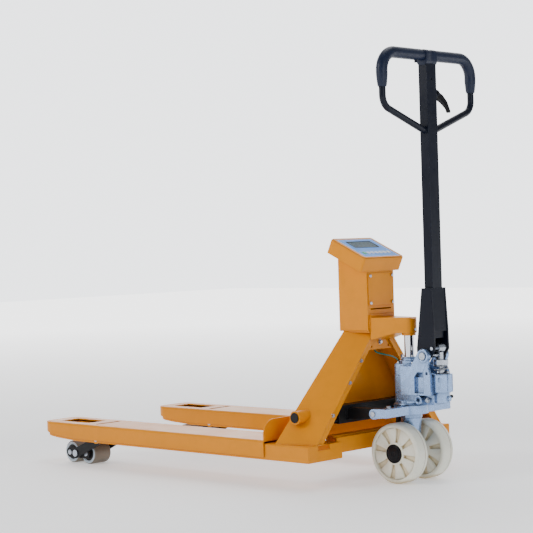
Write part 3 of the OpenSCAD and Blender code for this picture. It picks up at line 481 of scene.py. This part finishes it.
# ---------------------------------------------------------------- steering wheels
def steer_wheel(side):
    s = -1 if side == "l" else 1
    c = mid("wheel_" + side)
    axis = (0, s, 0)
    w, R = mm(WHEEL_HALF), mm(WHEEL_RADIUS)
    sh = mm(8)
    line = mm(WHEEL_LINE_OFFSET) * s
    floor, rim = w - mm(12), R - mm(12)
    prof = [(mm(10.6), -w + mm(1)), (mm(31), -w + mm(1)), (mm(33.5), -w + mm(3)),
            (mm(34.5), -floor), (rim - mm(3.5), -floor), (rim - mm(0.8), -w + mm(1.5)),
            (rim, -w + mm(0.3)), (rim + mm(1.2), -w)]
    prof += arc(R - sh, -w + sh, sh, -80, 0, 7)
    prof += [(R, line - mm(1.0)), (R - mm(0.9), line - mm(0.6)), (R - mm(0.9), line + mm(0.6)),
             (R, line + mm(1.0))]
    prof += arc(R - sh, w - sh, sh, 0, 80, 7)
    prof += [(rim + mm(1.2), w), (rim, w - mm(0.3)), (rim - mm(0.8), w - mm(1.5)),
             (rim - mm(3.5), floor), (mm(34.5), floor), (mm(33.5), w - mm(3)),
             (mm(31), w - mm(1)), (mm(10.6), w - mm(1))]
    bm = bmesh.new()
    lathe(bm, prof, c, axis, 128)
    tyre = piece("steer_wheel_" + side, bm, "nylon", "wheel_" + side, 40)
    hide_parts("wheel_" + side)
    # Web floor between the pads, coloured a darker tan as painted shade.
    bm = bmesh.new()
    for f in (1, -1):
        lathe(bm, [(mm(34.2), f * (floor - mm(2))), (rim - mm(3.0), f * (floor - mm(2))),
                   (rim - mm(3.0), f * (floor + mm(0.5))), (mm(34.2), f * (floor + mm(0.5)))],
              c, axis, 96)
    piece("steer_wheel_web_" + side, bm, "web_painted_shade", "wheel_" + side, 40)
    bm = bmesh.new()
    lathe(bm, [(R - mm(2), line - mm(0.55)), (R - mm(0.45), line - mm(0.55)),
               (R - mm(0.45), line + mm(0.55)), (R - mm(2), line + mm(0.55))], c, axis, 128)
    piece("steer_wheel_line_" + side, bm, "line", "wheel_" + side, 40)
    # Broad wedge pads with drafted sides on both faces.
    bm = bmesh.new()
    u, v, a = basis(axis)
    for i in range(8):
        t0 = math.radians(12) + i * math.pi / 4
        for f in (1, -1):
            rows = []
            for r, top in ((mm(33.6), mm(21.6)), (mm(45), mm(19.8)), (mm(58), mm(18.8)),
                           (rim - mm(1.6), mm(20.6))):
                ring = []
                for ang, z in ((-17.5, floor - mm(0.5)), (-15.2, top - mm(1.2)), (-13.0, top),
                               (0.0, top + mm(0.5)), (13.0, top), (15.2, top - mm(1.2)),
                               (17.5, floor - mm(0.5))):
                    t = t0 + math.radians(ang)
                    ring.append(bm.verts.new(c + (u * math.cos(t) + v * math.sin(t)) * r
                                             + a * f * z))
                rows.append(ring)
            skin(bm, rows)
    piece("steer_wheel_pads_" + side, bm, "nylon", "wheel_" + side, 30)
    # Domed black cap with a stepped rim.
    bm = bmesh.new()
    h0 = w - mm(1)
    prof = [(mm(11), h0), (mm(28), h0), (mm(28), h0 + mm(2.6))] \
        + arc(mm(26), h0 + mm(2.6), mm(2), 0, 90, 4) + [(mm(24.4), h0 + mm(4.6)),
          (mm(23.4), h0 + mm(3.9)), (mm(21.5), h0 + mm(3.9)), (mm(20.3), h0 + mm(5.0)),
          (mm(14), h0 + mm(5.6)), (mm(7), h0 + mm(5.8)), (mm(6), h0 + mm(5.0)), (mm(0.4), h0 + mm(5.0))]
    lathe(bm, prof, c, axis, 72, closed=False)
    cap = piece("hub_cap_dome_" + side, bm, "plastic", "wheel_" + side, 35)
    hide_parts("hub_cap_" + side)


steer_wheel("l")
steer_wheel("r")


# ---------------------------------------------------------------- load rollers
def load_roller(tag):
    c = mid("roller_" + tag)
    body = "roller_" + tag
    w, R = mm(ROLLER_HALF), mm(ROLLER_RADIUS)
    bm = bmesh.new()
    prof = [(mm(29.5), -w + mm(0.2))] + arc(R - mm(5), -w + mm(5), mm(5), -90, 0, 5) \
        + [(R, 0)] + arc(R - mm(5), w - mm(5), mm(5), 0, 90, 5) + [(mm(29.5), w - mm(0.2))]
    lathe(bm, prof, c, (0, 1, 0), 96)
    o = piece("tread_" + tag, bm, "tread", body, 40)
    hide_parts("roller_" + tag)
    bm = bmesh.new()
    for f in (1, -1):
        lathe(bm, [(mm(25), f * (w - mm(6))), (mm(33.5), f * (w - mm(6))), (mm(33.5), f * w),
                   (mm(32.5), f * (w + mm(0.3))), (mm(28.6), f * (w + mm(0.3))),
                   (mm(27.0), f * (w - mm(1.4))), (mm(25), f * (w - mm(1.4)))], c, (0, 1, 0), 96)
    piece("core_ring_" + tag, bm, "core", body, 30)
    bm = bmesh.new()
    for f in (1, -1):
        lathe(bm, [(mm(9), f * (w - mm(8))), (mm(26), f * (w - mm(8))), (mm(26), f * (w - mm(1.8))),
                   (mm(24), f * (w - mm(1.0))), (mm(21.5), f * (w - mm(1.8))),
                   (mm(14), f * (w - mm(1.4))), (mm(12), f * (w - mm(0.2))), (mm(9), f * (w - mm(0.2)))],
              c, (0, 1, 0), 80)
    piece("seal_" + tag, bm, "rubber", body, 30)


for t in ("lf", "lb", "rf", "rb"):
    load_roller(t)

# Bright retaining caps on the roller axles. The rear ones are low, for the arms to pass.
for _, side in SIDES:
    for t in ("f", "b"):
        c = mid("roller_%s%s" % (side, t))
        bm = bmesh.new()
        h = 1.0 if t == "f" else 0.2
        for f in (1, -1):
            y = f * mm(BOGIE_FACE_Y)
            lathe(bm, [(mm(8.9), y - f * mm(0.8)), (mm(8.9), y + f * h * mm(0.6)),
                       (mm(7.8), y + f * h * mm(1.2)), (mm(4.4), y + f * h * mm(1.2)),
                       (mm(3.6), y + f * h * mm(0.4)), (mm(0.4), y + f * h * mm(0.4))],
                  c, (0, 1, 0), 48, closed=False)
        piece("axle_cap_%s%s" % (side, t), bm, "steel", "bogie_" + side, 30)


# ---------------------------------------------------------------- plunger spring
def plunger_spring():
    lo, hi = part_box("plunger_spring")
    c = (Vector(lo) + Vector(hi)) / 2
    c.x, c.y = mid("plunger").x, 0.0
    turns, r, wire = 5.0, mm(20.0), mm(2.3)
    z0, z1 = lo[2] + wire, hi[2] - wire
    pts = []
    steps = int(turns * 40)
    for i in range(steps + 1):
        t = i / steps
        k = min(max((t - 0.09) / 0.82, 0.0), 1.0)
        k = 0.06 * t + 0.94 * k
        a = 2 * math.pi * turns * t
        pts.append(Vector((c.x + r * math.cos(a), r * math.sin(a), z0 + (z1 - z0) * k)))
    bm = bmesh.new()
    tube(bm, pts, wire, 12)
    o = piece("spring_coil", bm, "spring", "pump", 60)
    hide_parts("plunger_spring")
    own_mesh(o)


plunger_spring()


# ---------------------------------------------------------------- cables
def cables():
    z, zt, zc, fy = WING_TOP_Z, PLATFORM_TOP_Z, CHANNEL_TOP_Z, FORK_Y
    run = [(-123.5, 138, z - 144), (-123.5, 184, z - 200), (-123.5, 218, z - 243),
           (-123.5, 250, zt + 26), (-133, 268, zt + 10), (-170, 280, zt + 4),
           (-236, fy + 21, zt + 2), (-244, fy + 27, zc - 8), (-286, fy + 27, zc - 14),
           (-347.5, fy + 27, zc - 16)]
    top = {-1: [(-160, 7, z + 3), (-158, 9, z - 10), (-140, 26, z - 30), (-130, 52, z - 48),
                (-124, 80, z - 68), (-123.5, 108, z - 100)],
           1: [(-160, 7, z + 3), (-158, 6, z - 10), (-142, 0, z - 34), (-126, -8, z - 64),
               (-110, 10, z - 74), (-108, 46, z - 82), (-116, 82, z - 94),
               (-123.5, 108, z - 112)]}
    for s, side in SIDES:
        path = smooth_path([P(a, s * b, c) for a, b, c in top[s] + run], 8)
        bm = bmesh.new()
        tube(bm, path, mm(CABLE_RADIUS), 14)
        straight = [P(-470.5, s * (fy + 27), 114), P(-600, s * (fy + 27), 113.4),
                    P(-800, s * (fy + 27), 113.4), P(-922.5, s * (fy + 27), 114)]
        tube(bm, smooth_path(straight, 10), mm(CABLE_RADIUS), 14)
        o = piece("cable_" + side, bm, "cable", "chassis", 60)
        if s < 0:
            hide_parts("cell_cables")


cables()


# ---------------------------------------------------------------- indicator face
def head_point(u, v, w):
    """A point on the indicator head: u down the slope, v across, w off its middle plane."""
    t = math.radians(HEAD_TILT)
    c = P(*HEAD_CENTRE)
    return c + Vector((math.cos(t), 0, -math.sin(t))) * mm(u) + Vector((0, mm(v), 0)) \
        + Vector((math.sin(t), 0, math.cos(t))) * mm(w)


def rounded(l, w, r, n=5):
    """The outline of a rectangle with round corners."""
    pts = []
    for cx, cy, a in ((l / 2 - r, w / 2 - r, 0), (-l / 2 + r, w / 2 - r, 90),
                      (-l / 2 + r, -w / 2 + r, 180), (l / 2 - r, -w / 2 + r, 270)):
        pts += arc(cx, cy, r, a, a + 90, n)
    return pts


def head_frame_ring(name, u0, v0, l, w, r, width, z0, z1, mat):
    """A thin rounded frame lying on the indicator face."""
    outer, inner = rounded(l, w, r), rounded(l - 2 * width, w - 2 * width, max(r - width, 0.4))
    bm = bmesh.new()
    rows = []
    for pts, z in ((outer, z0), (outer, z1), (inner, z1), (inner, z0)):
        rows.append([bm.verts.new(head_point(u0 + a, v0 + b, z)) for a, b in pts])
    skin(bm, rows, around=True)
    return piece(name, bm, mat, "chassis", 30)


def bar(bm, u, v, lu, lv, z0, z1):
    """A small flat mark on the indicator face with a slightly narrower top."""
    rows = []
    for k, z in ((1.0, z0), (0.92, z1)):
        rows.append([bm.verts.new(head_point(u + a * lu * k / 2, v + b * lv * k / 2, z))
                     for a, b in ((-1, -1), (1, -1), (1, 1), (-1, 1))])
    skin(bm, rows)


def indicator():
    top = HEAD_FACE
    head_frame_ring("panel_border", 2, 0, 121, 160, 5, 1.1, top - 0.4, top - 0.12, "film_line")
    head_frame_ring("display_bezel", -22, 0, 44.5, 114.5, 3, 2.6, top - 0.5, top + 0.7, "plastic")
    head_frame_ring("key_field_line", 38, 0, 25, 142, 4, 0.6, top - 0.4, top - 0.15, "film_line")
    # Seven-segment digits on the display, all reading zero.
    bm = bmesh.new()
    for i in range(5):
        y = (i - 2) * KEY_PITCH
        for du, dv, lu, lv in ((-11, 0, 2.4, 8.6), (11, 0, 2.4, 8.6), (-5.6, -5.6, 8.2, 2.0),
                               (-5.6, 5.6, 8.2, 2.0), (5.6, -5.6, 8.2, 2.0), (5.6, 5.6, 8.2, 2.0)):
            bar(bm, -22 + du, y + dv, lu, lv, top - 0.5, top + 0.12)
    piece("display_digits", bm, "lcd_seg", "chassis", 30)
    # Small generic marks, one on each key.
    marks = {1: [(0, 0, 5, 0.9)], 2: [(0, 0, 0.9, 5), (0, 0, 5, 0.9)],
             3: [(-1.6, 0, 0.9, 4), (1.6, 0, 0.9, 4)], 4: [(0, 0, 1.8, 1.8)],
             5: [(0, -1.4, 4.6, 0.8), (0, 1.4, 4.6, 0.8)], 6: [(0, 0, 0.9, 5)],
             7: [(-1.5, -1.5, 1.4, 1.4), (1.5, 1.5, 1.4, 1.4)]}
    for i, lines in marks.items():
        bm = bmesh.new()
        for du, dv, lu, lv in lines:
            bar(bm, 38 + du, (i - 4) * KEY_PITCH + dv, lu, lv, top + 1.1, top + 1.36)
        piece("key_mark_%d" % i, bm, "key_white" if i == 1 else "film", "key_%d" % i, 30)


indicator()


# ---------------------------------------------------------------- fasteners
def fasteners():
    rear = (1, 0, 0)
    for s, side in SIDES:
        for z, k in ((534, "low"), (616, "top")):
            socket_screw("cover_screw_%s_%s" % (side, k), P(-100.6, s * 52, z), rear, mm(4.6),
                         mm(2.6), "chassis", washer=False)
        # Screws through the rear lips of the wings.
        for (y, z), k in (((226, 212), "low"), ((150, 302), "mid"), ((98, 364), "top")):
            x = -117 + 12.0 * (z - 130) / 320.0
            hex_bolt("lip_bolt_%s_%s" % (side, k), P(x, s * y, z), rear, mm(9), mm(4), "chassis")
        # Bolts near the ends of the thrust plate.
        hex_bolt("plate_bolt_out_%s" % side, P(18, s * 128, PLATE_TOP_Z), (0, 0, 1), mm(13), mm(6.5),
                 "thrust_base")
        # Pump head bolts round the gland.
        for x in (-24, 30):
            hex_bolt("gland_bolt_%s_%d" % (side, x + 30), P(x, s * 24, 352), (0, 0, 1), mm(8),
                     mm(4.5), "pump", turn=0.7)
        # Load cell screws seen from below.
        for x in [c + d for c in CELL_X for d in (CELL_SCREW_STEP, -CELL_SCREW_STEP)]:
            socket_screw("cell_screw_%s_%d" % (side, x + 1100), P(x, s * (FORK_Y + 27), 103),
                         (0, 0, -1), mm(5), mm(4), "chassis")
    socket_screw("yoke_set_screw", P(24.2, 0, 454), (1, 0, 0), mm(4.2), mm(1.6), "chassis",
                 washer=False)
    hex_bolt("valve_plug", P(92, -36, 248), (0, -1, 0), mm(11), mm(5), "pump")
    hex_bolt("tie_bolt", P(-113, 0, 414), rear, mm(10), mm(5), "chassis")


fasteners()


# ---------------------------------------------------------------- welds
def weld(name, pts, r, body="chassis", mat="paint"):
    """A rippled weld bead along a path."""
    path = []
    for a, b in zip(pts, pts[1:]):
        n = max(2, int((b - a).length / mm(1.6)))
        path += [a.lerp(b, k / n) for k in range(n)]
    path.append(pts[-1])
    radii = [r * (0.86 + 0.16 * abs(math.sin(i * 0.9))) for i in range(len(path))]
    radii[0] = radii[-1] = r * 0.5
    bm = bmesh.new()
    tube(bm, path, r, 8, radii=radii)
    return piece(name, bm, mat, body, 80)


def welds():
    for s, side in SIDES:
        weld("weld_wing_foot_" + side, [P(-246, s * 334, 130.8), P(-118, s * 300, 130.8)], mm(2.4))
        weld("weld_panel_foot_" + side, [P(-249, s * 326, 130.8), P(-249, s * 255, 130.8)], mm(2.2))
        weld("weld_lip_foot_" + side, [P(-115.5, s * 296, 130.8), P(-115.5, s * 274, 130.8)], mm(2.0))
        weld("weld_cross_" + side, [P(-178, s * 188, 145), P(-146, s * 188, 145)], mm(2.0))
    weld("weld_column_rear", [P(-104.6, -60, 450.6), P(-104.6, 60, 450.6)], mm(1.6))
    for s, side in SIDES:
        weld("weld_yoke_" + side, [P(-103, s * 57, 454), P(-103, s * 57, 488)], mm(2.2))
        weld("weld_column_side_" + side, [P(-215, s * 64.2, 450.6), P(-108, s * 64.2, 450.6)],
             mm(1.6))
    for s, side in SIDES:
        weld("weld_loop_" + side, [P(HANDLE_X + 10.5 * math.cos(k * math.pi / 8), s * 22.8,
                                     1041.5 + 11.0 * math.sin(k * math.pi / 8)) for k in range(17)],
             mm(1.5), "handle", "handle")


welds()


# ---------------------------------------------------------------- stage and light
def stage():
    m, nt, b = new_mat("floor_pale")
    vec = coords(nt)
    base = mix(nt, remap(nt, noise(nt, vec, 1.2, 3.0), 0.3, 0.7, 0.0, 1.0), (0.90, 0.90, 0.91),
               (0.94, 0.94, 0.945))
    nt.links.new(base, b.inputs["Base Color"])
    b.inputs["Roughness"].default_value = 0.75
    b.inputs["Emission Color"].default_value = (1.0, 1.0, 1.0, 1.0)
    bm = bmesh.new()
    s = 14.0
    vs = [bm.verts.new((x, y, 0)) for x, y in ((-s, -s), (s, -s), (s, s), (-s, s))]
    bm.faces.new(vs)
    me = bpy.data.meshes.new("floor")
    bm.to_mesh(me)
    bm.free()
    me.materials.append(m)
    o = bpy.data.objects.new("floor", me)
    bpy.context.scene.collection.objects.link(o)
    # The floor brightens away from the truck, so it runs into the backdrop.
    far = add(nt, "ShaderNodeVectorMath", operation="LENGTH")
    nt.links.new(vec, far.inputs[0])
    nt.links.new(remap(nt, far.outputs["Value"], 1.2, 9.0, 0.42, 2.6),
                 b.inputs["Emission Strength"])
    w = bpy.data.worlds.new("studio")
    w.use_nodes = True
    wt = w.node_tree
    bg = wt.nodes["Background"]
    bg.inputs["Color"].default_value = (0.95, 0.97, 1.0, 1.0)
    way = wt.nodes.new("ShaderNodeTexCoord")
    dot = wt.nodes.new("ShaderNodeVectorMath")
    dot.operation = "DOT_PRODUCT"
    dot.inputs[1].default_value = (-0.69, 0.72, 0.05)
    wt.links.new(way.outputs["Generated"], dot.inputs[0])
    wt.links.new(remap(wt, dot.outputs["Value"], 0.55, 0.93, 0.42, 3.0), bg.inputs["Strength"])
    bpy.context.scene.world = w

    def area(name, at, to, size, power, col=(1, 1, 1)):
        d = bpy.data.lights.new(name, "AREA")
        d.shape = "RECTANGLE"
        d.size, d.size_y = size
        d.energy = power
        d.color = col
        o = bpy.data.objects.new(name, d)
        bpy.context.scene.collection.objects.link(o)
        o.location = at
        o.rotation_mode = "QUATERNION"
        o.rotation_quaternion = (Vector(to) - Vector(at)).to_track_quat("-Z", "Y")

    area("key", (-1.4, -4.0, 2.6), (0.1, 0, 0.35), (1.8, 1.4), 92, (1.0, 0.985, 0.95))
    area("fill", (3.8, -0.8, 1.6), (0.4, 0, 0.4), (1.2, 1.6), 24, (0.90, 0.95, 1.0))
    area("top", (0.2, 0.8, 4.2), (0.2, 0, 0.2), (2.2, 2.2), 55)


stage()


# ---------------------------------------------------------------- grips and lever
def grips():
    y_side, zc, px, rt = LOOP_Y, CROSSBAR_Z, HANDLE_X, LOOP_BEND
    for s, side in SIDES:
        z_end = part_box("grip_" + side)[0][2] * 1000.0
        pts = [P(px, s * 24.5, zc), P(px, s * 70, zc), P(px, s * (y_side - rt - 30), zc)]
        for k in range(0, 19):
            t = math.radians(90 * k / 18)
            pts.append(P(px, s * (y_side - rt + rt * math.sin(t)), zc - rt + rt * math.cos(t)))
        n = 12
        for k in range(1, n + 1):
            pts.append(P(px, s * y_side, zc - rt - (zc - rt - z_end) * k / n))
        radii = []
        for i, q in enumerate(pts):
            below = (q.z - mm(z_end)) * 1000
            r = GRIP_RADIUS
            if i > 3 and below < 34 and abs(q.y) * 1000 > y_side - 2:
                r = 13.0 + 4.0 * min(1.0, max(0.0, below) / 34.0) ** 0.7
            radii.append(mm(r))
        radii[0] = mm(15.2)
        pts.insert(1, pts[0].lerp(pts[1], 0.04))
        radii.insert(1, mm(16.8))
        pts.append(pts[-1] - Vector((0, 0, mm(1.6))))
        radii.append(mm(11.6))
        bm = bmesh.new()
        tube(bm, pts, mm(GRIP_RADIUS), 40, radii=radii)
        o = piece("grip_sleeve_" + side, bm, "grip", "handle", 40)
        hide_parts("grip_" + side)


grips()


def head_cap():
    """Moulded saddle that closes the gap between the grips over the post head."""
    px, zc = HANDLE_X, CROSSBAR_Z
    rows = []
    bm = bmesh.new()
    for y, k in ((-26.0, 0.93), (-25.0, 1.0), (-8.0, 1.0), (-7.2, 0.965), (7.2, 0.965), (8.0, 1.0),
                 (25.0, 1.0), (26.0, 0.93)):
        rows.append([bm.verts.new(P(px + a * k, y, zc - 6.5 + b * k))
                     for a, b in rounded(38, 46, 13, 8)])
    skin(bm, rows)
    piece("head_cap", bm, "grip", "handle", 40)


head_cap()


def lever_blade():
    """A tapered blade with a rolled edge over the small lever's own line."""
    lo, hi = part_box("control_lever")
    x = mid("control_lever").x
    y0, y1, z1, z0 = 35.5, hi[1] * 1000 - 3.0, 1152.0, lo[2] * 1000 + 3.0
    line = smooth_path([Vector((x, mm(y0 - 3), mm(z1 + 5))), Vector((x, mm(y0 + 8), mm(z1 - 10))),
                        Vector((x, mm(y0 + 0.45 * (y1 - y0)), mm(z1 - 0.42 * (z1 - z0)))),
                        Vector((x, mm(y0 + 0.80 * (y1 - y0)), mm(z1 - 0.74 * (z1 - z0)))),
                        Vector((x, mm(y1), mm(z0)))], 6)
    n = len(line)
    bm = bmesh.new()
    rows = []
    for i, q in enumerate(line):
        d = (line[min(i + 1, n - 1)] - line[max(i - 1, 0)]).normalized()
        w = Vector((1, 0, 0))
        h = w.cross(d)
        t = i / (n - 1)
        half, thick = mm(10.5 - 6.5 * t), mm(5.2 - 1.6 * t)
        if i == n - 1:
            half, thick = half * 0.55, thick * 0.6
        row = []
        for k in range(16):
            a = 2 * math.pi * k / 16
            ca, sa = math.cos(a), math.sin(a)
            row.append(bm.verts.new(q + h * half * math.copysign(abs(ca) ** 0.55, ca)
                                    + w * thick * math.copysign(abs(sa) ** 0.8, sa)))
        rows.append(row)
    skin(bm, rows)
    piece("lever_blade", bm, "plastic", "control_lever", 50)


lever_blade()


# ---------------------------------------------------------------- casting details
def castings():
    # Ring and pin head on each ear.
    for s, side in SIDES:
        bm = bmesh.new()
        lathe(bm, [(mm(11.6), mm(49.4)), (mm(20.2), mm(49.4)), (mm(20.2), mm(51.4)),
                   (mm(19.2), mm(52.6)), (mm(14.6), mm(52.6)), (mm(13.4), mm(51.2)),
                   (mm(11.6), mm(51.2))], P(*PUMP_PIN), (0, s, 0), 64)
        piece("ear_ring_" + side, bm, "cast", "pump", 35)
        bm = bmesh.new()
        lathe(bm, [(mm(0.5), mm(50)), (mm(10.4), mm(50)), (mm(10.4), mm(53.2)),
                   (mm(9.2), mm(54.4)), (mm(4.6), mm(54.4)), (mm(3.8), mm(53.2)),
                   (mm(0.5), mm(53.2))], P(*PUMP_PIN), (0, s, 0), 48, closed=False)
        piece("pin_head_" + side, bm, "steel", "pump", 35)
        # Rounded boss rim at the relief valve.
        bm = bmesh.new()
        lathe(bm, [(mm(7.4), mm(45)), (mm(13.5), mm(45)), (mm(13.5), mm(47.4)),
                   (mm(12.3), mm(48.6)), (mm(8.6), mm(48.6)), (mm(7.4), mm(47.6))],
              P(*VALVE), (0, s, 0), 48)
        piece("valve_rim_" + side, bm, "cast", "pump", 35)
        # Vertical rib and casting seam on the plunger cup.
        bm = bmesh.new()
        for a_deg, hw, z0, z1 in ((s * 66, 2.2, 284, 314), (s * 20, 1.0, 276, 322)):
            a = math.radians(a_deg)
            rows = []
            for z, k in ((z0 - 2, 0.2), (z0, 1.0), (z1, 1.0), (z1 + 2, 0.2)):
                row = []
                for off, up in ((-1.5, -1.0), (-1.0, 1.4), (1.0, 1.4), (1.5, -1.0)):
                    r = PLUNGER_CUP_RADIUS + up * k
                    b = a + off * hw / PLUNGER_CUP_RADIUS
                    row.append(bm.verts.new(P(PLUNGER_X + r * math.cos(b), r * math.sin(b), z)))
                rows.append(row)
            skin(bm, rows)
        piece("cup_rib_" + side, bm, "cast", "pump", 35)
    # Rolled rim of the cup and skirt of the pump base.
    bm = bmesh.new()
    lathe(bm, [(mm(26.3), mm(322.5)), (mm(33.2), mm(322.5)), (mm(34.0), mm(323.6)),
               (mm(33.2), mm(325.2)), (mm(27.4), mm(325.2)), (mm(26.3), mm(324.2))],
          P(PLUNGER_X, 0, 0), (0, 0, 1), 72)
    lathe(bm, [(mm(44), mm(230.2)), (mm(49.5), mm(230.2)), (mm(50.2), mm(231.4)),
               (mm(49.5), mm(233.6)), (mm(47.2), mm(235.4)), (mm(46.6), mm(240)), (mm(44), mm(240))],
          P(0, 0, 0), (0, 0, 1), 96)
    # Wiper ring of the ram.
    lathe(bm, [(mm(15.6), mm(366.5)), (mm(22.5), mm(366.5)), (mm(22.5), mm(370.0)),
               (mm(21.0), mm(371.6)), (mm(17.0), mm(371.6)), (mm(15.6), mm(370.2))],
          P(0, 0, 0), (0, 0, 1), 64)
    piece("pump_rims", bm, "cast", "pump", 35)
    # Raised frame on both ends of the rocker.
    for s, side in SIDES:
        bm = bmesh.new()
        outer, inner = rounded(70, 34, 6), rounded(62, 26, 4)
        rows = []
        low, high = ROCKER_FACE_X, ROCKER_FACE_X + 1.4
        for pts, x in ((outer, low), (outer, high), (inner, high), (inner, low)):
            rows.append([bm.verts.new(P(x, s * 180 + a, 205 + b)) for a, b in pts])
        skin(bm, rows, around=True)
        piece("rocker_frame_" + side, bm, "black", "rocker", 35)


castings()
